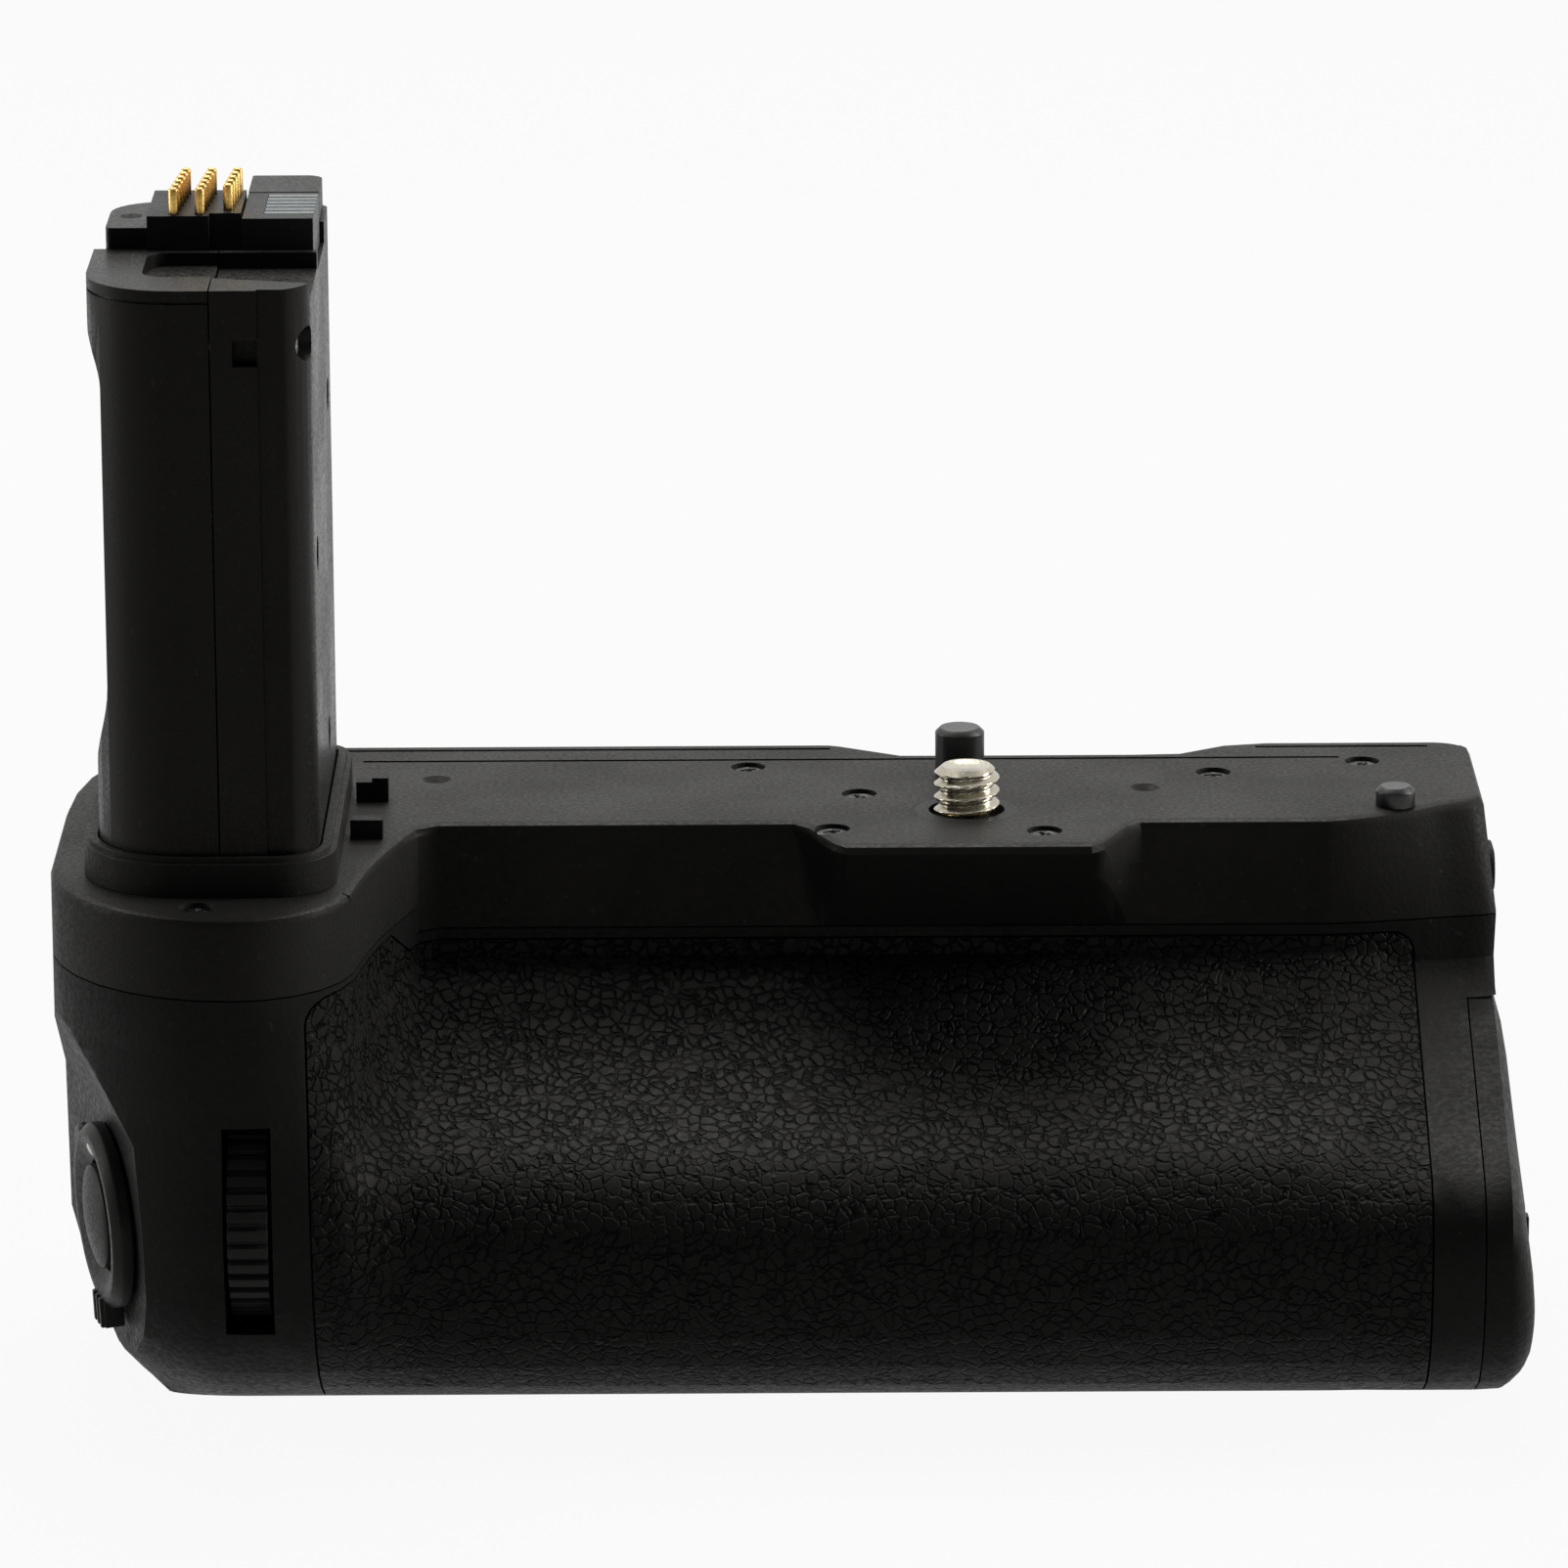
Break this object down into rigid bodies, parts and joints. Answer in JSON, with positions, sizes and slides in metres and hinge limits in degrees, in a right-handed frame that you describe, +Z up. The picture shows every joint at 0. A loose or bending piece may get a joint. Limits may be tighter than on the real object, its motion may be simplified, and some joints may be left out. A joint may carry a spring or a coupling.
{
  "type": "camera battery grip",
  "caption": "Battery grip that screws under a camera: battery-chamber tower, tripod screw turned by a thumb wheel, moulded grip with dials and buttons, pull-out battery drawer.",
  "frame": {"origin": "on the axis of the camera screw, in the plane of the plate that the camera sits on", "axes": "+X along the body towards the drawer's end cap, +Y to the back (the picture's viewer is on the -Y side), +Z up along the camera screw into the camera"},
  "size_m": [0.1401, 0.0664, 0.1156],
  "materials": {
    "plate_plastic": "fine-grained moulded black plastic",
    "shell_plastic": "sand-textured black plastic",
    "tower_plastic": "smooth satin black plastic",
    "grip_rubber": "leather-grained black rubber",
    "control_plastic": "satin black plastic",
    "dark_block": "smooth black plastic",
    "dark_metal": "blackened metal",
    "steel": "plain steel",
    "nickel": "nickel plate",
    "gear_brass": "machined brass",
    "gold": "gold plate",
    "board": "green circuit board",
    "switch_plastic": "dark grey plastic",
    "tray_plastic": "dark moulded plastic"
  },
  "bodies": {
    "grip": {"top_cover": "plate_plastic", "lower_shell": "shell_plastic", "grip_pad": "grip_rubber", "thumb_pad": "grip_rubber", "tower_left_shell": "tower_plastic", "tower_right_shell": "tower_plastic", "tower_collar": "plate_plastic", "contact_block": "dark_block", "terminal_block": "dark_block", "battery_terminals": "nickel", "tower_board": "board", "tower_screws": "steel", "screw_bush": "dark_block", "idler_axle": "steel", "wheel_axle": "steel", "gear_plate": "steel", "rear_locating_pin": "dark_metal", "side_locating_pin": "dark_metal", "cover_screws": "dark_metal", "shutter_switch": "switch_plastic", "function_switch": "switch_plastic", "front_dial_axle": "steel", "rear_dial_axle": "steel", "af_switch": "switch_plastic", "main_board": "board", "chamber_contacts": "gold", "tripod_socket": "steel", "side_plug": "plate_plastic"},
    "contact_pins": {"contact_pins": "gold"},
    "screw": {"camera_screw": "nickel", "screw_gear": "gear_brass"},
    "idler": {"idler_gear": "gear_brass"},
    "wheel": {"attachment_wheel": "control_plastic"},
    "shutter": {"shutter_button": "control_plastic"},
    "lock": {"lock_collar": "control_plastic"},
    "function": {"function_button": "control_plastic"},
    "front_dial": {"front_dial": "control_plastic"},
    "rear_dial": {"rear_dial": "control_plastic"},
    "af": {"af_button": "control_plastic"},
    "stick_ring": {"joystick_gimbal": "switch_plastic"},
    "stick": {"joystick": "control_plastic"},
    "drawer": {"battery_tray": "tray_plastic", "tray_terminals": "gold", "tray_cap": "shell_plastic"},
    "drawer_lock": {"tray_knob": "control_plastic", "tray_tongue": "steel"}
  },
  "joints": [
    {"name": "screw_spin", "type": "hinge", "parent": "grip", "child": "screw", "pos_m": [0, 0, 0], "axis": [0, 0, 1], "continuous": true},
    {"name": "idler_spin", "type": "hinge", "parent": "grip", "child": "idler", "pos_m": [0.01148, 0.00351, -0.004], "axis": [0, 0, 1], "continuous": true},
    {"name": "wheel_spin", "type": "hinge", "parent": "grip", "child": "wheel", "pos_m": [0.0065, 0.0136, -0.007], "axis": [0, 0, 1], "continuous": true},
    {"name": "front_dial_spin", "type": "hinge", "parent": "grip", "child": "front_dial", "pos_m": [-0.0679, -0.0282, -0.0307], "axis": [1, 0, 0], "continuous": true},
    {"name": "rear_dial_spin", "type": "hinge", "parent": "grip", "child": "rear_dial", "pos_m": [-0.074, 0.0153, -0.035], "axis": [1, 0, 0], "continuous": true},
    {"name": "shutter_press", "type": "slide", "parent": "grip", "child": "shutter", "axis": [0.9575, 0.2836, 0.0523], "range_m": [0, 0.0012], "stiffness_N_per_m": 500},
    {"name": "lock_turn", "type": "hinge", "parent": "grip", "child": "lock", "pos_m": [-0.0812, -0.024, -0.0328], "axis": [-0.9575, -0.2836, -0.0523], "range_deg": [0, 40]},
    {"name": "function_press", "type": "slide", "parent": "grip", "child": "function", "axis": [0.9575, 0.2836, 0.0523], "range_m": [0, 0.0005], "stiffness_N_per_m": 1000},
    {"name": "af_press", "type": "slide", "parent": "grip", "child": "af", "axis": [0, -1, 0], "range_m": [0, 0.0005], "stiffness_N_per_m": 1000},
    {"name": "stick_tilt", "type": "hinge", "parent": "grip", "child": "stick_ring", "pos_m": [-0.069, 0.019, -0.02], "axis": [1, 0, 0], "range_deg": [-8, 8], "stiffness_Nm_per_rad": 0.05},
    {"name": "stick_pan", "type": "hinge", "parent": "stick_ring", "child": "stick", "pos_m": [-0.069, 0.019, -0.02], "axis": [0, 0, 1], "range_deg": [-8, 8], "stiffness_Nm_per_rad": 0.05},
    {"name": "pins_press", "type": "slide", "parent": "grip", "child": "contact_pins", "axis": [0, 0, -1], "range_m": [0, 0.001], "stiffness_N_per_m": 600},
    {"name": "drawer_slide", "type": "slide", "parent": "grip", "child": "drawer", "axis": [1, 0, 0], "range_m": [0, 0.116]},
    {"name": "drawer_lock_turn", "type": "hinge", "parent": "drawer", "child": "drawer_lock", "pos_m": [0.05, -0.0266, -0.036], "axis": [1, 0, 0], "range_deg": [0, 90]}
  ],
  "couplings": [
    {"joint": "idler_spin", "follows": "screw_spin", "ratio": -1},
    {"joint": "wheel_spin", "follows": "screw_spin", "ratio": 1.1429}
  ]
}
